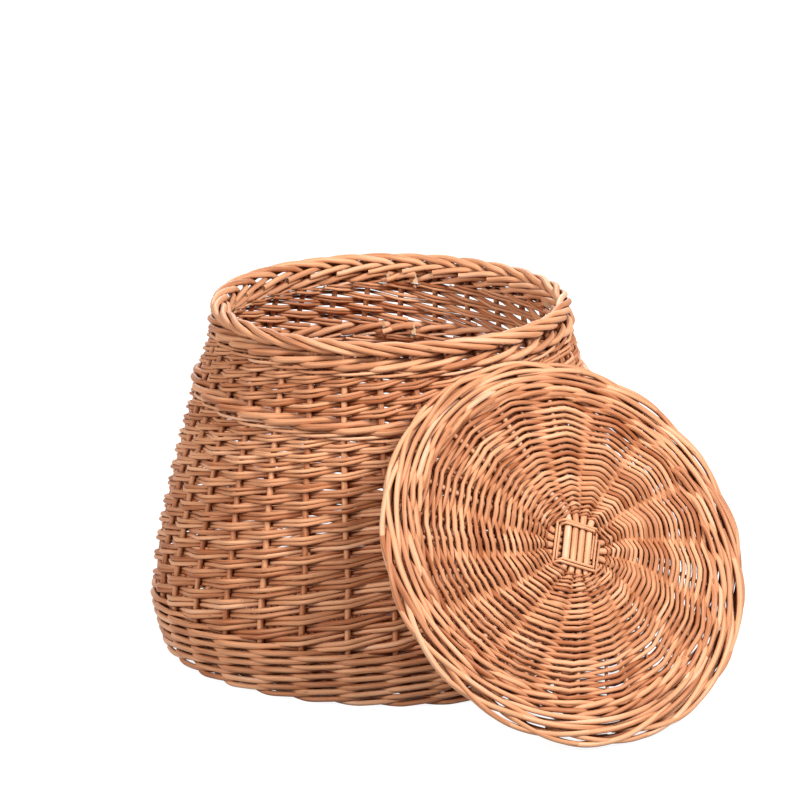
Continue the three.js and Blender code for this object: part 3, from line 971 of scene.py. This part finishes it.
def lid_disc():
    """The lid, as it leans on the basket."""
    sizes = lid_sizes()
    stand = Matrix.Rotation(sizes.facing, 4, "Z") @ Matrix.Rotation(sizes.lean, 4, "X")
    spin = Matrix.Rotation(sizes.spin, 4, "Z")
    place = Matrix.Translation(middle_of("lid_border")) @ stand @ spin.inverted()
    edge = sizes.radius - sizes.border_width
    spoke_clear = 0.001
    disc = Disc(place, edge - spoke_clear, edge, seed=71)
    disc.cross_shift = spin @ Vector((sizes.cross_aside, sizes.cross_rise, 0.0))
    disc.ring_shift = spin @ Vector((0.0, sizes.ring_rise, 0.0))
    return disc


def weave_disc(name, body, disc, lap, weaver_sides):
    """Makes the sticks, the binding and the weave of a disc. The weave laps past the disc's edge."""
    sticks = weave(name + "_stick_rods", disc.stick_rods(), "Stick", sides=12, seed=6)
    nodes = [f"{name}_stick_{number:02d}" for number in range(1, 2 * STICKS_PER_LAYER + 1)]
    fit(sticks, body, "stick_rods", *nodes)
    rods = disc.binding_rods(rounds=2)
    binding = weave(name + "_binding_rods", rods, "Wale", sides=10, seed=7)
    fit(binding, body, "wale_rods", name + "_binding")
    weave_edge = disc.edge + lap
    bye_clear = 0.004
    rods = disc.weave_rods(weave_edge) + disc.bye_rods(weave_edge - bye_clear)
    woven = weave(name + "_weave_rods", rods, "Weaver", sides=weaver_sides, seed=8)
    fit(woven, body, "weaver_rods", name + "_weave")


class HAMPER_OT_base(bpy.types.Operator):
    """Weave the base inside the foot"""

    bl_idname = "hamper.base"
    bl_label = "Base"

    def execute(self, context):
        weave_disc("base", "basket", base_disc(), lap=0.0, weaver_sides=7)
        return {"FINISHED"}


class HAMPER_OT_lid(bpy.types.Operator):
    """Weave the lid inside its border"""

    bl_idname = "hamper.lid"
    bl_label = "Lid"

    def execute(self, context):
        weave_disc("lid", "lid", lid_disc(), lap=0.008, weaver_sides=9)
        return {"FINISHED"}


class HAMPER_OT_lid_border(bpy.types.Operator):
    """Weave the wale of the lid's border and plait its edge"""

    bl_idname = "hamper.lid_border"
    bl_label = "Lid border"

    def execute(self, context):
        sizes = lid_sizes()
        disc = lid_disc()
        middle = disc.edge + sizes.close_wale
        rods = disc.wale_rods(disc.edge, middle, 2 * SPOKES)
        rods += disc.wale_rods(middle, sizes.radius - sizes.rim_width, SPOKES)
        rods += disc.rim_rods(sizes.radius)
        piece = weave("lid_border_rods", rods, "Border", sides=10, seed=9)
        fit(piece, "lid", "border_rods", "lid_border")
        return {"FINISHED"}


def floor_material():
    """White where it is seen, with the shadow kept, darker to all other light and clear from below."""
    material = bpy.data.materials.new("Pale floor")
    material.use_nodes = True
    material.node_tree.nodes.clear()
    bench = NodeBench(material.node_tree)
    add = bench.add
    white = bpy.context.scene.hamper_colours.floor

    def glowing(grey, strength):
        """Output of a matt surface, of a share of the floor's colour, that also glows."""
        matt = add("ShaderNodeBsdfDiffuse", {"Color": [grey * value for value in white[:3]] + [1.0]})
        glow = add("ShaderNodeEmission", {"Color": white, "Strength": strength})
        return add("ShaderNodeAddShader", {0: matt.outputs[0], 1: glow.outputs[0]}).outputs[0]

    plain = glowing(grey=0.18, strength=0.12)
    lit = glowing(grey=0.24, strength=0.92)
    above = add("ShaderNodeMixShader", {0: bench.seen_directly(), 1: plain, 2: lit}).outputs[0]
    below = add("ShaderNodeBsdfTransparent").outputs[0]
    is_below = add("ShaderNodeNewGeometry").outputs["Backfacing"]
    sided = add("ShaderNodeMixShader", {0: is_below, 1: above, 2: below}).outputs[0]
    add("ShaderNodeOutputMaterial", {0: sided})
    return material


def soft_light(name, place, aim, size, power):
    """A round lamp of a size and a power, turned to its aim."""
    data = bpy.data.lights.new(name, "AREA")
    data.shape = "DISK"
    data.size = size
    data.energy = power
    light = set_in_scene(name, data)
    light.location = place
    light.rotation_euler = (Vector(aim) - Vector(place)).to_track_quat("-Z", "Y").to_euler()


class HAMPER_OT_stage(bpy.types.Operator):
    """Set the floor, the soft light and the camera"""

    bl_idname = "hamper.stage"
    bl_label = "Stage"

    def execute(self, context):
        scene = context.scene
        scene.view_settings.view_transform = "Standard"
        mesh = bpy.data.meshes.new("floor")
        half = 30.0
        corners = [(-half, -half, 0.0), (half, -half, 0.0), (half, half, 0.0), (-half, half, 0.0)]
        mesh.from_pydata(corners, [], [(0, 1, 2, 3)])
        mesh.materials.append(floor_material())
        floor = set_in_scene("floor", mesh)

        world = bpy.data.worlds.new("Studio")
        scene.world = world
        world.use_nodes = True
        bench = NodeBench(world.node_tree)
        ambient = world.node_tree.nodes["Background"]
        bench.feed(ambient, {"Color": (1.0, 1.0, 1.0, 1.0), "Strength": 0.12})
        backdrop = bench.add("ShaderNodeBackground", {"Color": scene.hamper_colours.floor, "Strength": 1.0})
        skies = {0: bench.seen_directly(), 1: ambient.outputs[0], 2: backdrop.outputs[0]}
        seen = bench.add("ShaderNodeMixShader", skies)
        bench.feed(world.node_tree.nodes["World Output"], {0: seen.outputs[0]})

        aim = (0.0, 0.0, 0.15)
        soft_light("left", (-2.89, -2.43, 1.99), aim, size=1.2, power=102.0)
        soft_light("right", (2.10, -2.10, 3.12), aim, size=1.6, power=208.0)
        soft_light("back", (-0.40, 3.60, 2.20), aim, size=2.0, power=70.0)

        data = bpy.data.cameras.new("camera")
        data.sensor_width = 36.0
        data.lens = 269.96
        data.clip_end = 100.0
        camera = set_in_scene("camera", data)
        aside = 0.0093
        away = 6.0
        eye_height = 1.9761
        camera.location = (middle_of_basket.x + aside, middle_of_basket.y - away, eye_height)
        camera.rotation_euler = (math.radians(74.0), 0.0, 0.0)
        scene.camera = camera
        return {"FINISHED"}


class HAMPER_PT_pieces(bpy.types.Panel):
    """Lists the hamper's pieces"""

    bl_idname = "HAMPER_PT_pieces"
    bl_label = "Hamper"
    bl_space_type = "VIEW_3D"
    bl_region_type = "UI"
    bl_category = "Hamper"

    def draw(self, context):
        for operator in OPERATORS:
            self.layout.operator(operator.bl_idname)
        for group in GROUPS:
            settings = getattr(context.scene, group)
            box = self.layout.box()
            for name in settings.bl_rna.properties.keys():
                if name not in ("rna_type", "name"):
                    box.prop(settings, name)


OPERATORS = (
    HAMPER_OT_stage,
    HAMPER_OT_stakes,
    HAMPER_OT_foot_wale,
    HAMPER_OT_rands,
    HAMPER_OT_wales,
    HAMPER_OT_border,
    HAMPER_OT_base,
    HAMPER_OT_lid,
    HAMPER_OT_lid_border,
)
GROUPS = {
    "hamper_basket": HamperBasketSizes,
    "hamper_lid": HamperLidSizes,
    "hamper_colours": HamperColours,
}
CLASSES = (*GROUPS.values(), *OPERATORS, HAMPER_PT_pieces)


def register():
    for item in CLASSES:
        bpy.utils.register_class(item)
    for name, group in GROUPS.items():
        setattr(bpy.types.Scene, name, bpy.props.PointerProperty(type=group))


def unregister():
    for name in GROUPS:
        delattr(bpy.types.Scene, name)
    for item in reversed(CLASSES):
        bpy.utils.unregister_class(item)


def main():
    register()
    bpy.ops.hamper.stage()
    bpy.ops.hamper.stakes()
    bpy.ops.hamper.foot_wale()
    bpy.ops.hamper.rands()
    bpy.ops.hamper.wales()
    bpy.ops.hamper.border()
    bpy.ops.hamper.base()
    bpy.ops.hamper.lid()
    bpy.ops.hamper.lid_border()


if __name__ == "__main__":
    main()
